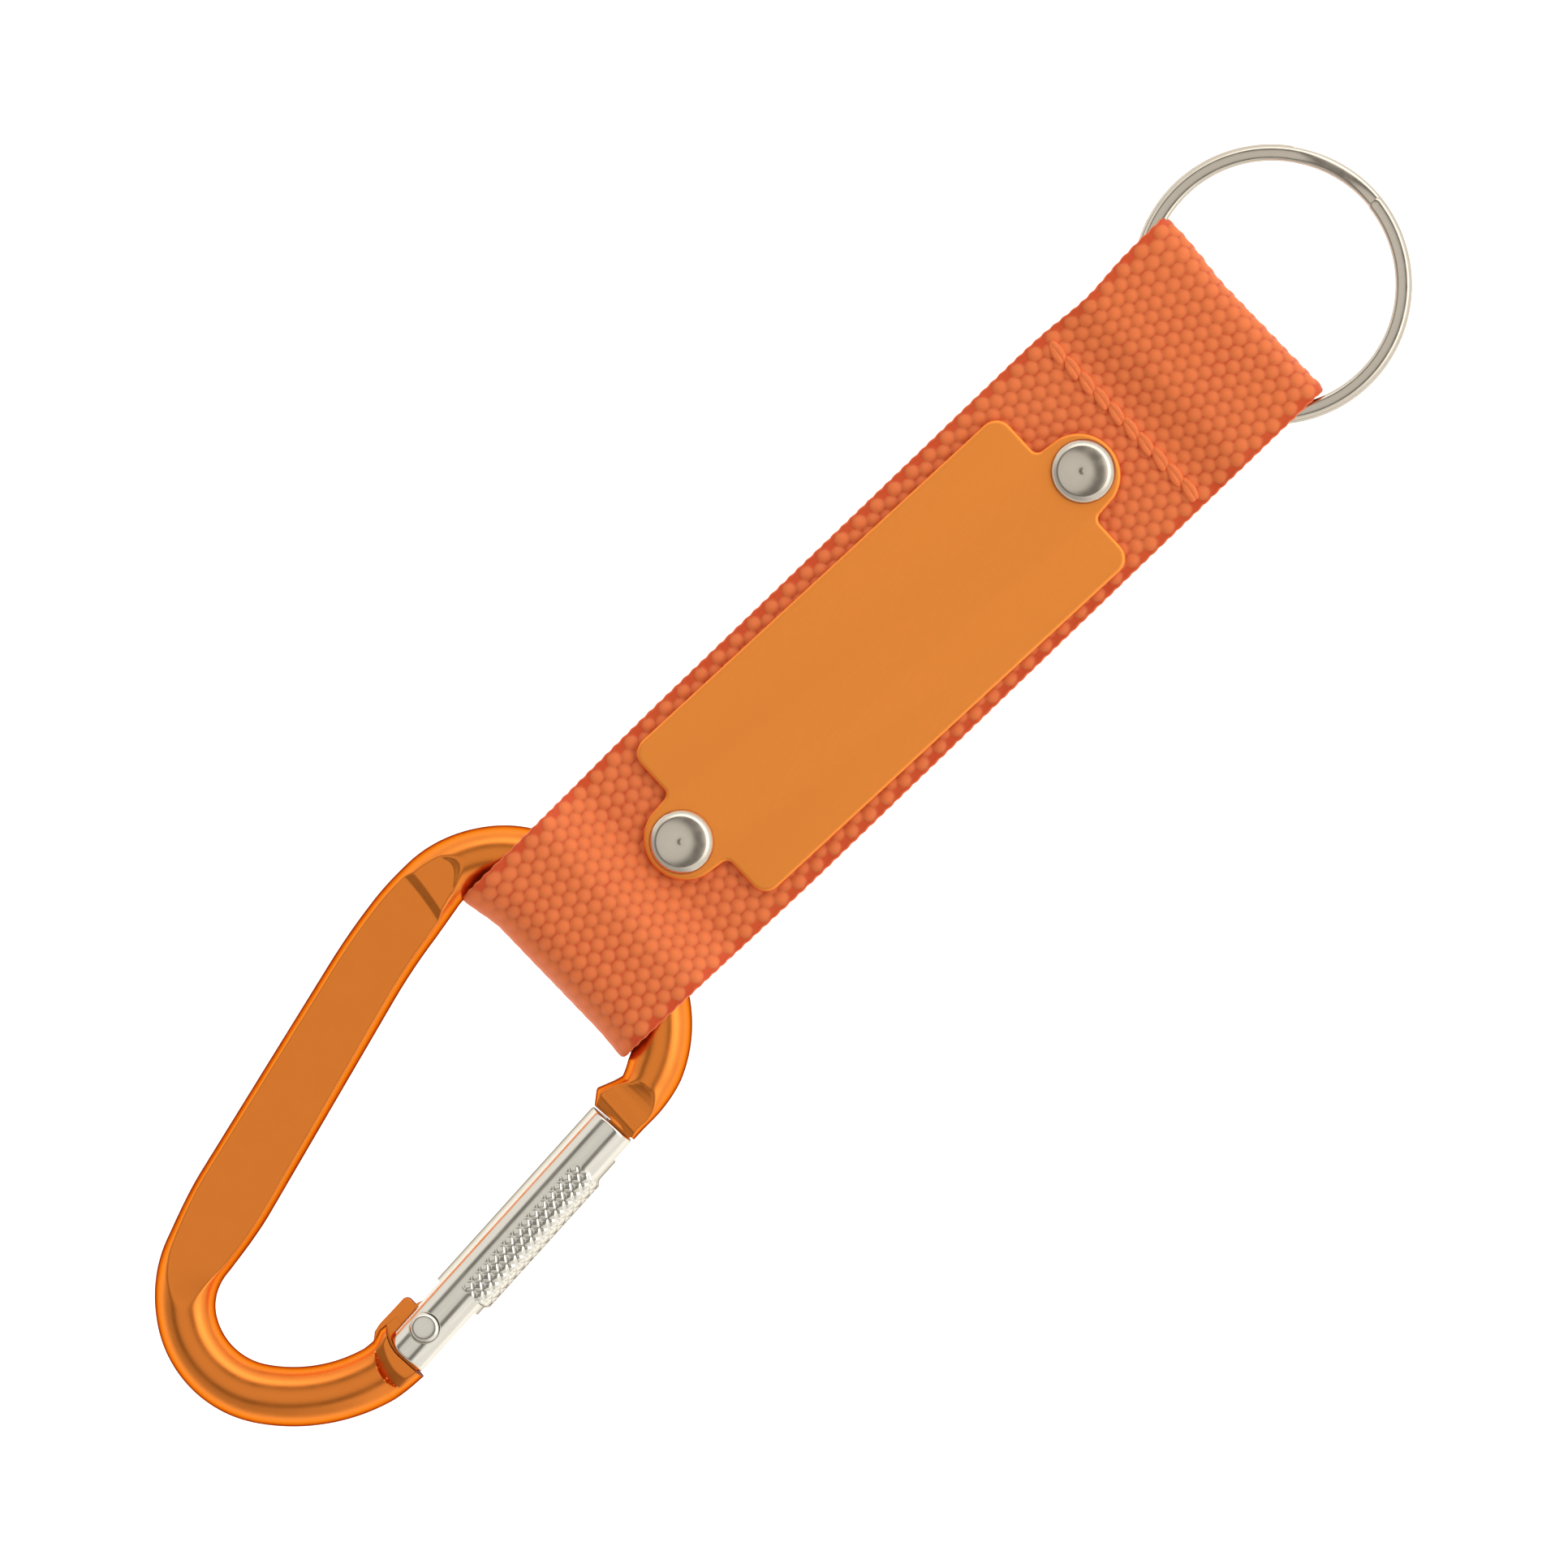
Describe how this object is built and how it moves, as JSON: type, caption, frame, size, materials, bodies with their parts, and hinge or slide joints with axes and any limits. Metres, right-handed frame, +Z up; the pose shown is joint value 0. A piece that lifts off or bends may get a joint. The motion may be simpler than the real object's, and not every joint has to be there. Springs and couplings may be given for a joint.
{
  "type": "carabiner keyring",
  "caption": "Short double webbing strap with a riveted label plate, joining a small snap-gate carabiner to a split ring for keys.",
  "frame": {"origin": "on the table under the middle of the whole outline, with the keyring lying label side up", "axes": "+X along the strap from the carabiner to the split ring, +Z up out of the label side"},
  "size_m": [0.1808, 0.041, 0.0092],
  "materials": {
    "anodised_body": "orange anodised, glossy",
    "anodised_plate": "orange anodised, satin",
    "gate_aluminium": "plain, polished",
    "nickel": "nickel plated",
    "steel": "bare",
    "webbing": "coarse plain weave nylon",
    "thread": "bonded sewing thread"
  },
  "bodies": {
    "strap": {"strap_front_layer": "webbing", "strap_rear_carabiner_end": "webbing", "strap_rear_ring_end": "webbing", "stitch_row_front": "thread", "stitch_row_rear": "thread", "label_plate": "anodised_plate", "rivet_cap_carabiner_end": "nickel", "rivet_post_carabiner_end": "nickel", "rivet_cap_ring_end": "nickel", "rivet_post_ring_end": "nickel"},
    "carabiner": {"strap_loop_carabiner": "webbing", "carabiner_body": "anodised_body", "gate_pivot_pin": "gate_aluminium"},
    "gate": {"gate": "gate_aluminium", "gate_spring": "steel"},
    "plunger": {"spring_plunger": "steel"},
    "ring_loop": {"strap_loop_ring": "webbing"},
    "ring": {"split_ring": "nickel"}
  },
  "joints": [
    {"name": "carabiner_flex", "type": "hinge", "parent": "strap", "child": "carabiner", "pos_m": [-0.01661, 0.00151, 0.0048], "axis": [0, 1, 0], "range_deg": [-65, 55]},
    {"name": "gate_swing", "type": "hinge", "parent": "carabiner", "child": "gate", "pos_m": [-0.06768, -0.01659, 0.00365], "axis": [-0.0227, 0, 0.9997], "range_deg": [0, 40], "stiffness_Nm_per_rad": 0.05, "springref_deg": -34.38},
    {"name": "plunger_slide", "type": "slide", "parent": "gate", "child": "plunger", "axis": [0.9972, 0.0706, 0.0226], "range_m": [0, 0.0008], "deforming": ["gate_spring"]},
    {"name": "ring_flex", "type": "hinge", "parent": "strap", "child": "ring_loop", "pos_m": [0.05597, 0.00151, 0.00355], "axis": [0, 1, 0], "range_deg": [-60, 60]},
    {"name": "ring_turn", "type": "hinge", "parent": "ring_loop", "child": "ring", "pos_m": [0.07532, 0.00101, 0.00214], "axis": [0.0726, 0, 0.9974], "continuous": true}
  ],
  "couplings": [
    {"joint": "plunger_slide", "follows": "gate_swing", "m_per_rad": 0.001145}
  ]
}
